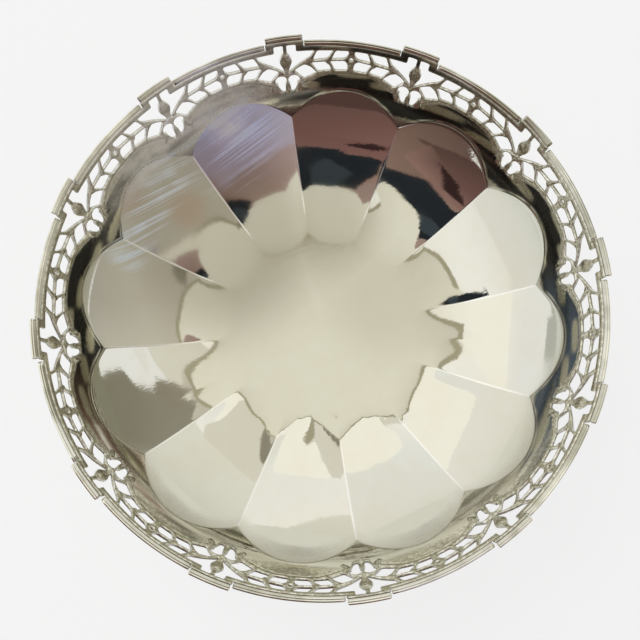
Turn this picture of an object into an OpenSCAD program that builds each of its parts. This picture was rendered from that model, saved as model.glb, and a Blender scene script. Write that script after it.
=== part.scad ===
// Footed compote bowl in silver: a bowl with fluted panels, a pierced border and a stepped rim,
// on a low spun foot. Millimetres, +Z up, origin at the centre of the foot's base.
// Angle 0 is the middle of a tab, with a bud of the border under it.

/* [Bowl] */
// Outer diameter over the rim wires of the tabs
bowl_d = 231; // [200:1:280]
// Depth from the top of the tabs to the inner floor
bowl_depth = 58; // [52:0.5:64]
// Thickness of the bowl's sheet
sheet_t = 1.2; // [1:0.1:1.4]
// Radius of the wall's curve in profile, on the inner side
wall_arc_r = 64; // [60:0.5:72]
// Lean of the wall from upright at its top edge, in degrees
wall_lean = 2.5; // [1:0.5:6]
// Radius of a panel's curve in profile, on the inner side
panel_arc_r = 84.5; // [80:0.5:90]
// Length down the wall from the top of the tabs to the crown of a panel's arch
arch_drop = 29.5; // [28.5:0.5:34]
// Number of panels, of tabs on the rim and of repeats of the border
sectors = 12; // [10:1:14]

/* [Rim] */
// Width of the rim wire, seen from above
wire_w = 2.3; // [1.8:0.1:2.6]
// Height of the rim wire
wire_h = 1.7; // [1.4:0.1:2]
// Step down from the wire's outer bead to its inner fillet
wire_step = 0.5; // [0.2:0.1:0.8]
// Distance from the sheet's inner side out to the wire's inner edge, at a tab
wire_back = 0.8; // [0.6:0.1:0.9]
// Height of the tabs above the long stretches of the rim
tab_rise = 3.5; // [2.5:0.1:3.8]
// Distance from the tabs' outer side in to that of the long stretches
tab_jut = 0.6; // [0.3:0.1:0.8]
// Angle that one tab covers, in degrees
tab_angle = 8.4; // [7:0.1:10]
// Angle left free at each end of a rim wire, in degrees
wire_gap = 0.15; // [0.1:0.05:0.3]

/* [Pierced border] */
// Length down the wall from the top of the tabs to the lower end of the piercing
border_w = 28; // [26:0.5:28.5]
// Radius of the hole in the flower between two sprays
flower_hole_r = 0.85; // [0.6:0.05:1.2]
// Radius of the bow's two loops
bow_loop_r = 2.1; // [1.6:0.1:2.2]

/* [Foot] */
// Height from the table to the underside of the bowl
foot_h = 25; // [20:0.5:34]
// Outer diameter over the wire at the base
foot_d = 98; // [90:1:116]
// Diameter of the foot at the top, on the outer side
neck_d = 54; // [46:1:60]
// Thickness of the foot's sheet
foot_t = 1.2; // [0.9:0.1:1.6]
// Radius of the foot's hollow flare in profile, on the outer side
flare_r = 38; // [32:1:60]
// Radius of the roll at the foot's edge in profile, on the outer side
roll_r = 7; // [5:0.5:9]
// Height of the wire at the base
base_wire_h = 3.2; // [2.6:0.1:4]
// Width of the wire at the base
base_wire_w = 3.2; // [3:0.1:4]

/* [Hidden] */
overrun = 5;
cutter_depth = 8;
sector = 360 / sectors;
rim_r = bowl_d / 2;
floor_z = foot_h + sheet_t;
top_z = floor_z + bowl_depth;
// A square of this side covers the whole bowl from any corner of it.
cover = 2 * bowl_d;

wall_x = rim_r - wire_w - wire_back - wall_arc_r * cos(wall_lean);
wall_z = top_z + wall_arc_r * sin(wall_lean);
// Angle of the wall's curve below level where it runs on straight.
wall_end_turn = 60;
// A panel's curve ends level in the floor, and meets the wall at the crown of its arch.
panel_z = floor_z + panel_arc_r;
crown_drop = panel_z - wall_height(arch_drop);
panel_x = wall_radius(arch_drop) - sqrt(panel_arc_r * panel_arc_r - crown_drop * crown_drop);

// Border outline, for one side of a bud. Each point is a share of half a sector away from the
// middle of the bud, and a share of border_w down from the top of the tab.
bud_window_shares = [[0.035, 0.08], [0.152, 0.08], [0.152, 0.235], [0.433, 0.235], [0.36, 0.375],
    [0.215, 0.49], [0.045, 0.64], [0.07, 0.57], [0.098, 0.49], [0.105, 0.41], [0.098, 0.315],
    [0.05, 0.24]];
upper_leaf_window_shares = [[0.485, 0.24], [0.71, 0.24], [0.613, 0.395], [0.42, 0.43]];
upper_end_window_shares = [[0.767, 0.24], [0.933, 0.24], [0.893, 0.395], [0.727, 0.412]];
lower_bud_window_shares = [[0.133, 0.675], [0.28, 0.57], [0.467, 0.69], [0.273, 0.8]];
lower_leaf_window_shares = [[0.413, 0.525], [0.59, 0.508], [0.687, 0.618], [0.49, 0.648]];
lower_end_window_shares = [[0.71, 0.498], [0.91, 0.48], [0.927, 0.618], [0.767, 0.625]];
all_window_shares = [bud_window_shares, upper_leaf_window_shares, upper_end_window_shares,
    lower_bud_window_shares, lower_leaf_window_shares, lower_end_window_shares];
bow_place_shares = [0.104, 0.822];
flower_place_shares = [1, 0.43];
// Tail of a loop of the bow: shares of bow_loop_r outwards from the bud, and upwards.
bow_tail_shares = [[-0.75, 0], [-0.4, -2.3], [0.35, -2.25], [0.95, 0]];

// The foot's profile is a hollow flare from the neck that runs smoothly into a round roll.
skirt_r = foot_d / 2 - base_wire_h / 2;
roll_x = skirt_r - roll_r;
neck_dx = neck_d / 2 - roll_x;
neck_dz = foot_h - base_wire_h;
neck_reach = sqrt(neck_dx * neck_dx + neck_dz * neck_dz);
// Of the triangle between the roll's centre, the neck and the flare's centre, all sides are known.
flare_reach = flare_r + roll_r;
flare_turn = acos((neck_reach * neck_reach + flare_reach * flare_reach - flare_r * flare_r)
    / (2 * neck_reach * flare_reach));
flare_dir = atan2(neck_dz, neck_dx) - flare_turn;
flare_x = roll_x + flare_reach * cos(flare_dir);
flare_z = base_wire_h + flare_reach * sin(flare_dir);

tab_wires = [for (i = [1:sectors]) str("tab_wire_", i)];
rim_wires = [for (i = [1:sectors]) str("rim_wire_", i)];

$fa = 3;
$fs = 0.5;

// Angle of the wall's curve below level, at a length down the wall from the top of a tab.
function wall_turn(drop) = wall_lean + drop / wall_arc_r * 180 / PI;
function wall_radius(drop) = wall_x + wall_arc_r * cos(wall_turn(drop));
function wall_height(drop) = wall_z - wall_arc_r * sin(wall_turn(drop));

function middle(points) = [for (i = [0:1]) [for (p = points) p[i]] * [for (p = points) 1 / len(points)]];
// Border shares laid flat on the wall about their middle: along the rim, and up.
function laid_flat(points, side) = [for (p = points) [
    side * (p[0] - middle(points)[0]) * sector / 2 * PI / 180 * wall_radius(p[1] * border_w),
    (middle(points)[1] - p[1]) * border_w]];

// What lies inside the wall's curve all round, widened by a thickness. Below the panels' arches
// the curve runs on straight, so that it stays clear of the floor.
module wall_round(grow) {
    rotate_extrude() {
        translate([0, floor_z - cover])
            square([wall_x, 2 * cover]);
        intersection() {
            translate([wall_x, wall_z]) {
                circle(wall_arc_r + grow);
                rotate(-wall_end_turn)
                    translate([0, -cover])
                        square([wall_arc_r + grow, cover]);
            }
            translate([0, floor_z - cover])
                square([cover, 2 * cover]);
        }
    }
}

// What lies inside one panel's curve, drawn straight across, widened by a thickness.
module panel_side(grow) {
    rotate([90, 0, 0])
        linear_extrude(height = 2 * cover, center = true) {
            translate([-cover, floor_z - grow])
                square([cover + panel_x, cover]);
            translate([panel_x, panel_z])
                circle(panel_arc_r + grow);
        }
}

// The bowl's form cut off level: the wall's round form, trimmed straight by every panel.
module bowl_form(grow, top) {
    intersection() {
        wall_round(grow);
        translate([0, 0, floor_z - grow])
            cylinder(r = rim_r + overrun, h = top - floor_z + grow);
        for_all_panels(grow);
    }
}

module for_all_panels(grow) {
    intersection_for(i = [1:sectors])
        rotate([0, 0, (i - 0.5) * sector])
            panel_side(grow);
}

// Stands a flat outline through the wall, at a place of the border given in shares.
module through_wall(place, side) {
    turn = wall_turn(place[1] * border_w);
    rotate([0, 0, side * place[0] * sector / 2])
        translate([wall_radius(place[1] * border_w), 0, wall_height(place[1] * border_w)])
            rotate([0, turn, 0])
                rotate([90, 0, 90])
                    linear_extrude(height = cutter_depth, center = true)
                        children();
}

module half_border(side) {
    for (points = all_window_shares)
        through_wall(middle(points), side)
            polygon(laid_flat(points, side));
    through_wall(bow_place_shares, side) {
        circle(bow_loop_r);
        polygon([for (p = bow_tail_shares) [side * p[0], p[1]] * bow_loop_r]);
    }
}

module border_repeat() {
    half_border(1);
    half_border(-1);
    through_wall(flower_place_shares, 1)
        circle(flower_hole_r);
}

// Takes the sheet down to the long stretches of the rim, between two tabs.
module rim_step() {
    rotate([0, 0, tab_angle / 2])
        rotate_extrude(angle = sector - tab_angle)
            translate([rim_r - wire_w - overrun, top_z - tab_rise - wire_h])
                square([wire_w + 2 * overrun, tab_rise + 2 * overrun]);
}

module bowl() {
    color("gainsboro")
        difference() {
            bowl_form(sheet_t, top_z - wire_h);
            bowl_form(0, top_z);
            for (i = [1:sectors])
                rotate([0, 0, i * sector]) {
                    rim_step();
                    border_repeat();
                }
        }
}

// Length of rim wire with its outer bead at a radius and its top at a height.
module wire_length(outer_r, top, from, angle) {
    rotate([0, 0, from])
        rotate_extrude(angle = angle) {
            translate([outer_r - wire_h / 2, top - wire_h / 2])
                circle(wire_h / 2);
            translate([outer_r - wire_w, top - wire_h])
                square([wire_w - wire_h / 2, wire_h - wire_step]);
        }
}

module tab_wire(i) {
    color("silver")
        wire_length(rim_r, top_z, i * sector - tab_angle / 2 + wire_gap, tab_angle - 2 * wire_gap);
}

module rim_wire(i) {
    color("silver")
        wire_length(rim_r - tab_jut, top_z - tab_rise, i * sector + tab_angle / 2 + wire_gap,
            sector - tab_angle - 2 * wire_gap);
}

// What lies inside the foot's outer side in profile, drawn in by a thickness.
module foot_round(shrink) {
    difference() {
        polygon([[0, base_wire_h], [roll_x, base_wire_h], [flare_x, flare_z], [0, flare_z]]);
        translate([flare_x, flare_z])
            circle(flare_r + shrink);
    }
    translate([roll_x, base_wire_h])
        circle(roll_r - shrink);
}

module foot() {
    color("gainsboro")
        rotate_extrude()
            intersection() {
                difference() {
                    foot_round(0);
                    foot_round(foot_t);
                }
                translate([0, base_wire_h])
                    square([foot_d, foot_h - base_wire_h]);
            }
}

module foot_wire() {
    color("silver")
        rotate_extrude() {
            translate([skirt_r, base_wire_h / 2])
                circle(base_wire_h / 2);
            translate([foot_d / 2 - base_wire_w, 0])
                square([base_wire_w - base_wire_h / 2, base_wire_h]);
        }
}

bowl();
foot();
foot_wire();
for (i = [1:sectors])
    rim_wire(i);
for (i = [1:sectors])
    tab_wire(i);
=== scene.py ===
import math

import bpy
import numpy as np
from mathutils import Matrix, Vector
from mathutils.geometry import delaunay_2d_cdt


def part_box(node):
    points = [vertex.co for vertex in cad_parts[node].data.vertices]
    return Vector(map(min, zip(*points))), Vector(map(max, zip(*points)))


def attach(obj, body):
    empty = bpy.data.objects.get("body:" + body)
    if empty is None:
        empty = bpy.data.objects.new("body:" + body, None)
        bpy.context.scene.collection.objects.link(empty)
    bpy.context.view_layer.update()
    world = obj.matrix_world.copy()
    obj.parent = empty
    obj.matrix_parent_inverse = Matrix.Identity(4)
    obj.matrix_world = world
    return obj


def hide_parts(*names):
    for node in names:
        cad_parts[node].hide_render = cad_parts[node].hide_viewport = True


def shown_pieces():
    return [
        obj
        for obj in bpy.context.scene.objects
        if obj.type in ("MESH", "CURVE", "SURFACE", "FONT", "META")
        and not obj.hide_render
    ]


# The bowl is drawn in millimetres, as it was built, and goes into Blender's metres at the end.
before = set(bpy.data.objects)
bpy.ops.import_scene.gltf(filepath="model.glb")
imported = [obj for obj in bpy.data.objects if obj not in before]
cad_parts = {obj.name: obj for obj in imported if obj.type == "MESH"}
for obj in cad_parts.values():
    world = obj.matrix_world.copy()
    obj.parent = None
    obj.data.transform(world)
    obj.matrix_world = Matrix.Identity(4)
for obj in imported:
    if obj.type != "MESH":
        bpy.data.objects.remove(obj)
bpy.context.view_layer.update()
MM = 0.001
rim_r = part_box("tab_wire_12")[1].x / MM
top_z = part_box("tab_wire_12")[1].z / MM
neck_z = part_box("bowl")[0].z / MM

# The photograph looks down into the bowl from a hand's reach above its rim, a little from the
# near side and turned a little about the line of sight.
camera_place = Vector((-12.6, -61.6, 353.5)) * MM
camera_aim = Vector((-2.7, -9.1, 84.2)) * MM
camera_roll = math.radians(2.23)
camera_data = bpy.data.cameras.new("camera")
camera_data.sensor_width = 36
camera_data.lens = 39.43
camera_data.clip_start = 0.01
camera = bpy.data.objects.new("camera", camera_data)
bpy.context.scene.collection.objects.link(camera)
ahead = (camera_aim - camera_place).normalized()
level_right = ahead.cross(Vector((0, 0, 1))).normalized()
right = Matrix.Rotation(camera_roll, 3, -ahead) @ level_right
camera.matrix_world = Matrix.Translation(camera_place) @ Matrix(
    (right, right.cross(ahead), -ahead)).transposed().to_4x4()
bpy.context.scene.camera = camera

# The bowl: one sheet of silver. Its upper wall is round and hollow in profile, and is pierced.
# Below, twelve panels run down to a level floor; each is straight across and curved in profile,
# and meets the wall at an arch.
sectors = 12
half_sector = math.pi / sectors
sheet_t = 1.2
floor_z = neck_z + sheet_t
wall_arc_r = 64
wall_lean = math.radians(2.5)
panel_arc_r = 84.5
arch_drop = 29.5
wire_w = 2.3
wire_h = 1.7
wire_back = 0.8
edge_drop = 1.2
tab_rise = 3.5
tab_half_angle = math.radians(8.4) / 2
wall_x = rim_r - wire_w - wire_back - wall_arc_r * math.cos(wall_lean)
wall_z = top_z + wall_arc_r * math.sin(wall_lean)
panel_up = floor_z + panel_arc_r - wall_z
arch_turn = wall_lean + arch_drop / wall_arc_r
arch_r = wall_x + wall_arc_r * math.cos(arch_turn)
arch_down = wall_arc_r * math.sin(arch_turn)
panel_x = arch_r - math.sqrt(panel_arc_r ** 2 - (panel_up + arch_down) ** 2)
# Softness of the fold between the wall and a panel, and between two panels.
arch_fold = 0.14
crease_fold = 0.16
crease_fade = 20
# The sheet is thinner where the wall was raised than in the panels.
rim_t = 0.6
border_t = 0.85
# Each panel starts to rise farther out near its folds than at its middle, so its inner end is
# rounded. The delay dies out between the two distances from the axis.
fold_delay = 3.6
fold_from = 53
fold_to = 76
# Distance given to lines that meet no wall, and the least difference that counts.
no_wall = 1000
tiny = 1e-6


def smooth_step(value):
    """From none at 0 to full at 1, level at both ends."""
    value = np.clip(value, 0, 1)
    return value * value * (3 - 2 * value)


def wall_reach(dip, grow):
    """Distance from the bowl's centre to the wall, along lines that dip below level: the far
    crossing of each line with a circle whose centre lies level with the bowl's centre. Lines
    that cross it nearer to the axis than its own centre meet no wall."""
    half_gap = wall_x * np.sin(dip)
    reach = wall_x * np.cos(dip) + np.sqrt((wall_arc_r + grow) ** 2 - half_gap ** 2)
    return np.where(reach * np.cos(dip) < wall_x, no_wall, reach)


def panel_reach(turn, dip, grow):
    """Distance from the bowl's centre to a panel whose middle is turned away from the lines:
    the crossing with the level floor, or beyond its edge with the panel's circle. The edge is
    delayed by the third power of the share of the way to the fold. The circle is first crossed
    without a delay, which tells how much of the delay is left there."""
    out = np.cos(turn) * np.cos(dip)
    down = np.sin(dip)
    level = (wall_z - floor_z + grow) / down
    square = out ** 2 + down ** 2
    start = panel_x
    for _ in range(2):
        half = out * start - down * panel_up
        rest = start ** 2 + panel_up ** 2 - (panel_arc_r + grow) ** 2
        curved = (half + np.sqrt(np.maximum(half ** 2 - square * rest, 0))) / square
        left = 1 - smooth_step((curved * out - fold_from) / (fold_to - fold_from))
        start = panel_x + fold_delay * left * np.minimum(
            np.abs(np.tan(turn)) / math.tan(half_sector), 1) ** 3
    return np.where(out * level < start, level, curved)


def soft_least(a, b, softness):
    """The lesser of two distances, with the corner where they cross rounded by a parabola."""
    softness = np.maximum(softness, tiny)
    share = np.clip(0.5 + (b - a) / (2 * softness), 0, 1)
    return b + (a - b) * share - softness * share * (1 - share)


def bowl_reach(angle, dip, grow=0):
    """Distance from the bowl's centre to its surface: the soft least of the distances to the
    wall and to the two panels beside a crease at angle 0."""
    near = panel_reach(half_sector - angle, dip, grow)
    far = panel_reach(half_sector + angle, dip, grow)
    run = np.minimum(near, far) * np.cos(dip) * np.cos(half_sector - angle) - panel_x
    fade = np.clip(run / crease_fade, 0, 1)
    panels = soft_least(near, far, crease_fold * fade)
    return soft_least(wall_reach(dip, grow), panels, arch_fold)


def bowl_points(angle, dip, reach):
    """Places on lines from the bowl's centre: round by the angle, down by the dip."""
    out = reach * np.cos(dip)
    return np.stack([out * np.cos(angle), out * np.sin(angle), wall_z - reach * np.sin(dip)], -1)


def dip_at(drop):
    """Dip of the line to the wall, at a length down the wall from the top of a tab."""
    turn = wall_lean + drop / wall_arc_r
    return np.arctan2(wall_arc_r * np.sin(turn), wall_x + wall_arc_r * np.cos(turn))


# The border is drawn flat for half a repeat, from the middle of a bud to the middle of a flower,
# and laid on the wall. Places are shares of that half, and of the border's width.
border_w = 28
border_r = 110
half_w = half_sector * border_r
join_drops = (31, 23)
join_sag = 0.6
point_gap = 0.62
bud_window = [(0.038, 0.13), (0.152, 0.13), (0.152, 0.275), (0.425, 0.275), (0.365, 0.4),
              (0.215, 0.51), (0.05, 0.65), (0.07, 0.575), (0.1, 0.51), (0.108, 0.43),
              (0.088, 0.39), (0.07, 0.33), (0.04, 0.29)]
leaf_windows = [
    [(0.487, 0.28), (0.71, 0.275), (0.637, 0.42), (0.6, 0.44), (0.43, 0.46)],
    [(0.765, 0.275), (0.945, 0.27), (0.935, 0.35), (0.893, 0.415), (0.72, 0.435)],
    [(0.137, 0.66), (0.2, 0.6), (0.28, 0.56), (0.38, 0.615), (0.465, 0.715), (0.273, 0.81)],
    [(0.405, 0.53), (0.59, 0.51), (0.66, 0.57), (0.69, 0.655), (0.5, 0.69)],
    [(0.695, 0.5), (0.9, 0.475), (0.935, 0.53), (0.945, 0.65), (0.767, 0.66)],
]
bow_place = (0.104, 0.822)
bow_loop_r = 2.65
bow_points = 34
bow_tail = [(-0.75, 0), (-0.62, -2.3), (0.05, -2.3), (0.95, -0.1)]
bow_nick = 0.2
bow_nick_turn = math.radians(318)
bow_nick_half_angle = 0.3
window_ease = 0.34
corner_cuts = (0.5, 0.2)
most_cut_share = 0.3
flower_place = (1, 0.43)
flower_hole_r = 0.95
flower_points = 10


def laid(shares):
    """Shares of the half repeat and of the border's width, as millimetres on the flat wall."""
    return np.array(shares, float) * (half_w, border_w)


def opened(points, by):
    """A closed outline whose sides are moved outwards and met again at the corners."""
    side = np.roll(points, -1, 0) - points
    side /= np.linalg.norm(side, axis=1)[:, None]
    around = np.sign((points * np.roll(points, -1, 0)[:, ::-1] * (1, -1)).sum())
    out = np.stack([side[:, 1], -side[:, 0]], -1) * around
    before = np.roll(out, 1, 0)
    return points + by * (out + before) / (1 + (out * before).sum(1))[:, None]


def cut_corners(points, length):
    """A closed outline with each corner cut off a short way along its two sides."""
    after = np.roll(points, -1, 0)
    side = np.linalg.norm(after - points, axis=1)
    share = np.minimum(length / side, most_cut_share)[:, None]
    pair = np.stack([points + (after - points) * share, after + (points - after) * share], 1)
    return pair.reshape(-1, 2)


def spaced(points, gap, closed=True):
    """An outline with points added so that no side is longer than the gap."""
    ends = np.roll(points, -1, 0) if closed else points[1:]
    starts = points if closed else points[:-1]
    sides = [a + (b - a) * np.linspace(0, 1, max(1, math.ceil(np.linalg.norm(b - a) / gap)),
                                       endpoint=False)[:, None] for a, b in zip(starts, ends)]
    return np.concatenate(sides if closed else sides + [points[-1:]])


def bow_outline():
    """The hole of a loop of the bow: round above, and below drawn out along each line to the
    nearest side of its tail. A nick draws it in at one place."""
    round_turn = np.linspace(0, 2 * math.pi, bow_points, endpoint=False)
    way = np.stack([np.cos(round_turn), np.sin(round_turn)], -1)
    tail = np.array(bow_tail)
    reach = np.full(len(way), np.inf)
    for a, b in zip(tail[:-1], tail[1:]):
        outward = np.array([-(b - a)[1], (b - a)[0]])
        outward *= np.sign(outward @ (a + b - tail.mean(0) * 2))
        facing = way @ outward
        cross = (a @ outward) / np.where(facing > tiny, facing, np.nan)
        reach = np.fmin(reach, cross)
    reach = np.maximum(np.where(way[:, 1] < 0, reach, 0), 1)
    nick = np.clip(1 - np.abs(round_turn - bow_nick_turn) / bow_nick_half_angle, 0, 1)
    return laid(bow_place) + way * (1, -1) * (reach - bow_nick * nick)[:, None] * bow_loop_r


windows = []
for window_shares in [bud_window] + leaf_windows:
    window = opened(laid(window_shares), window_ease)
    for length in corner_cuts:
        window = cut_corners(window, length)
    windows.append(spaced(window, point_gap))
windows.append(bow_outline())

# The sheet's top edge runs along a tab, down its step, and along the long stretch of the rim.
step_at = tab_half_angle * border_r
top_edge = np.array([(0, edge_drop), (step_at, edge_drop), (step_at, tab_rise + edge_drop),
                     (half_w, tab_rise + edge_drop)], float)


def far_from(points, line, closed=False):
    """Distance of each point to the nearest place on a line of straight pieces."""
    start = line if closed else line[:-1]
    side = (np.roll(line, -1, 0) if closed else line[1:]) - start
    gap = points[:, None] - start
    share = np.clip((gap * side).sum(-1) / (side ** 2).sum(-1), 0, 1)
    return np.linalg.norm(gap - side * share[..., None], axis=-1).min(1)


def inside(points, outline):
    """Whether each point lies in a closed outline: it does where a level line from it crosses
    the outline an odd number of times."""
    a, b = outline, np.roll(outline, -1, 0)
    x, y = points[:, None, 0], points[:, None, 1]
    spans = (a[:, 1] > y) != (b[:, 1] > y)
    rise = np.where(b[:, 1] == a[:, 1], 1, b[:, 1] - a[:, 1])
    return (spans & (x < a[:, 0] + (b[:, 0] - a[:, 0]) * (y - a[:, 1]) / rise)).sum(1) % 2 == 1


def join_drop(share):
    """Where the border's triangles end, below all the piercing: a line that sags a little."""
    return np.interp(share, (0, 1), join_drops) + join_sag * share * (1 - share)


def half_outline(columns, gap):
    """The closed outline of half a repeat. Returns it with the numbers of its places along the
    top edge, round the near side of the flower, and along the join from the bud's side."""
    top = spaced(top_edge, point_gap, closed=False)
    turn = np.linspace(0.5, 1.5, flower_points) * math.pi
    flower = laid(flower_place) + np.stack([np.cos(turn), -np.sin(turn)], -1) * flower_hole_r
    join = np.stack([columns * half_w, join_drop(columns)], -1)[::-1]
    above, below, beside = [
        spaced(np.array(ends), gap, closed=False)[1:-1] for ends in (
            (top[-1], flower[0]), (flower[-1], join[0]), (join[-1], top[0]))]
    parts = [top, above, flower, below, join, beside]
    numbers = np.split(np.arange(sum(map(len, parts))), np.cumsum([len(p) for p in parts[:-1]]))
    return np.concatenate(parts), numbers[0], numbers[2], numbers[4][::-1]


# Rows of the flat triangles are closer than their columns. Places keep clear of the edges by
# shares of the gap and of a ring's depth, and those nearer than the merging gap become one.
row_share = 0.87
clear_share = 0.5
ring_share = 0.9
merge_gap = 1e-5


def filling(edge, flower, gap, rings):
    """Places inside the outline and outside the windows: rows of a grid, every other one moved
    by half a gap, and rings along the cut edges, each at one depth from them."""
    near_edge = lambda points: np.min([far_from(points, w, True) for w in windows + [edge]], 0)
    grid = np.stack(np.meshgrid(np.arange(gap / 2, half_w, gap),
                                np.arange(edge_drop, max(join_drops), gap * row_share)), -1)
    grid[1::2, :, 0] += gap / 2
    fill = grid.reshape(-1, 2)
    added = [fill[near_edge(fill) > (rings[-1] if rings else 0) + gap * clear_share]]
    for depth in rings:
        for hole in windows + [flower]:
            along = np.roll(hole, -1, 0) - np.roll(hole, 1, 0)
            away = np.stack([along[:, 1], -along[:, 0]], -1)
            away /= np.linalg.norm(away, axis=-1)[:, None]
            ring = np.concatenate([hole + away * depth, hole - away * depth])
            added.append(ring[near_edge(ring) > depth * ring_share])
    free = np.concatenate(added)
    return free[inside(free, edge) & ~np.any([inside(free, w) for w in windows], 0)]


def half_repeat(columns, gap, rings):
    """Flat triangles of half a repeat, less its windows. Returns places, triangles, the pairs
    of places along each cut edge in the triangles' own direction, and the places of the join."""
    edge, top, flower, join = half_outline(columns, gap)
    loops = np.split(np.arange(sum(map(len, windows))), np.cumsum([len(w) for w in windows[:-1]]))
    rims = [len(edge) + np.stack([loop, np.roll(loop, -1)], -1) for loop in loops]
    around = np.arange(len(edge))
    borders = np.concatenate([np.stack([around, np.roll(around, -1)], -1)] + rims)
    every = np.concatenate([edge, *windows, filling(edge, edge[flower], gap, rings)])
    made = delaunay_2d_cdt([Vector(p) for p in every], borders.tolist(), [], 0, merge_gap)
    places = np.array([tuple(p) for p in made[0]])
    triangles = np.array(made[2])
    back = np.array([group[0] if group else -1 for group in made[3]])
    order = np.full(len(every), -1)
    order[back[back >= 0]] = np.flatnonzero(back >= 0)
    middle = places[triangles].mean(1)
    kept = inside(middle, edge) & ~np.any([inside(middle, w) for w in windows], 0)
    a, b, c = places[triangles[kept]].transpose(1, 0, 2)
    turn = (b - a)[:, 0] * (c - a)[:, 1] - (b - a)[:, 1] * (c - a)[:, 0]
    triangles = np.where(turn[:, None] > 0, triangles[kept], triangles[kept][:, ::-1])
    open_cuts = [np.stack([line[:-1], line[1:]], -1) for line in (top, flower)]
    cuts = order[np.concatenate(open_cuts + rims)]
    sides = np.stack([triangles, np.roll(triangles, -1, 1)], -1).reshape(-1, 2)
    number = lambda pairs: pairs[:, 0] * len(places) + pairs[:, 1]
    against = ~np.isin(number(cuts), number(sides))
    cuts[against] = cuts[against][:, ::-1]
    return places, triangles, cuts, order[join]


# Relief of the border, as the chaser raised it on the inner side: stems and leaves with a vein,
# a domed bud, rings round the bow's loops and the flower, and a line along the border's foot.
# Each ridge, ring, vein and groove has its height or depth, and its half width.
tab_set_out = 0.2
tab_side = 0.9
tab_side_fade = 1.4
tab_foot = 4.7
tab_foot_fade = 0.7
edge_round = 0.24
edge_depth = 0.2
tarnish_reach = 0.3
stem = [(0.02, 0.665), (0.1, 0.63), (0.22, 0.555), (0.36, 0.49), (0.52, 0.482), (0.68, 0.468),
        (0.84, 0.452), (0.94, 0.43)]
stem_ridge = (0.3, 0.6)
leaves = [[(0.375, 0.48), (0.455, 0.275)], [(0.65, 0.46), (0.745, 0.275)],
          [(0.35, 0.52), (0.485, 0.705)], [(0.63, 0.495), (0.735, 0.67)],
          [(0.9, 0.42), (0.97, 0.27)], [(0.9, 0.46), (0.975, 0.65)]]
leaf_ridge = (0.34, 0.8)
leaf_vein = (0.2, 0.25)
bud_place = (0, 0.41)
bud_size = (3, 3.6)
bud_height = 0.75
bud_veins = [[(0, 0.3), (0.03, 0.36), (0.03, 0.47), (0, 0.53)], [(0, 0.13), (0, 0.3)],
             [(0.05, 0.3), (0.075, 0.4), (0.06, 0.5), (0, 0.56)], [(0.03, 0.6), (0, 0.57)]]
bud_vein = (0.22, 0.42)
ring_out = 0.5
bow_ring = (0.55, 0.62)
flower_ring = (0.4, 0.55)
ribbon = [[(0.0, 0.675), (0.05, 0.69), (0.1, 0.725)], [(0, 0.7), (0.012, 0.78), (0.012, 0.86)],
          [(0.19, 0.87), (0.235, 0.905), (0.22, 0.95), (0.27, 0.985)]]
ribbon_ridge = (0.45, 0.6)
foot_line = [(0.26, 0.905), (0.33, 0.878), (0.43, 0.825), (0.53, 0.775), (0.66, 0.733),
             (0.82, 0.719), (1, 0.715)]
foot_groove = (0.16, 0.45)
foot_ridge = (0.14, 0.6)
foot_ridge_rise = 0.75


def ridge(distance, height, half_width):
    """Height of a rounded ridge across its line: full on the line, less by the square of the
    share of the way out, and none past the half width."""
    return height * np.maximum(1 - (distance / half_width) ** 2, 0)


def set_out(flat):
    """How far the sheet stands out behind a tab: evenly, with a quick step at the tab's foot."""
    beside = smooth_step((step_at + tab_side - flat[:, 0]) / tab_side_fade)
    return tab_set_out * beside * smooth_step((tab_foot - flat[:, 1]) / tab_foot_fade)


def to_edge(flat):
    """Distance to the nearest cut edge of the piercing."""
    flower = np.linalg.norm(flat - laid(flower_place), axis=1)
    return np.min([far_from(flat, w, True) for w in windows]
                  + [far_from(flat, top_edge), np.abs(flower - flower_hole_r)], 0)


def relief(flat):
    """Height of the chasing above the wall at places of the half repeat: the highest ridge at
    each, less the veins and grooves, and less a quarter round along each cut edge."""
    flower = np.linalg.norm(flat - laid(flower_place), axis=1)
    bow = np.linalg.norm(flat - laid(bow_place), axis=1)
    bud = np.linalg.norm((flat - laid(bud_place)) / bud_size, axis=1)
    height = ridge(far_from(flat, laid(stem)), *stem_ridge)
    for leaf in leaves:
        away = far_from(flat, laid(leaf))
        height = np.maximum(height, ridge(away, *leaf_ridge))
        height -= ridge(away, *leaf_vein)
    height = np.maximum(height, ridge(bud, bud_height, 1))
    for vein in bud_veins:
        height -= ridge(far_from(flat, laid(vein)), *bud_vein)
    height = np.maximum(height, ridge(bow - bow_loop_r - ring_out, *bow_ring))
    height = np.maximum(height, ridge(flower - flower_hole_r - ring_out, *flower_ring))
    for band in ribbon:
        height = np.maximum(height, ridge(far_from(flat, laid(band)), *ribbon_ridge))
    height -= ridge(far_from(flat, laid(foot_line)), *foot_groove)
    height += ridge(far_from(flat, laid(foot_line) - (0, foot_ridge_rise)), *foot_ridge)
    near = np.clip(1 - to_edge(flat) / edge_round, 0, 1)
    return height - edge_depth * (1 - np.sqrt(1 - near ** 2))


# How dark the wall looks in its hollows: a painted dark reflection, below the piercing, less above
# it, least on the ribs. Lines along the arches are left out of it, so they show pale.
hollow_start = [(0, 1.04), (0.2, 1.05), (0.26, 0.925), (0.33, 0.898), (0.43, 0.845),
                (0.53, 0.79), (0.66, 0.748), (0.82, 0.734), (1, 0.73)]
hollow_before = 0.3
hollow_fade = 0.5
above_piercing = 7
arch_lines = [(0, 0), (0.3, 0), (0.5, 1), (0.9, 0.9), (1.15, 0.15), (1.6, 0.2), (2, 1)]
# Dirt also lies where the chasing is lower than a short step to both sides.
dirt_step = 0.25
dirt_gain = 4
most_dirt = 0.8
# Widths of the soft shine past an arch, and of the painted highlight line along a fold.
soft_reach = 10
crease_highlight_width = 0.4
crease_highlight_edge = 1.3
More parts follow.
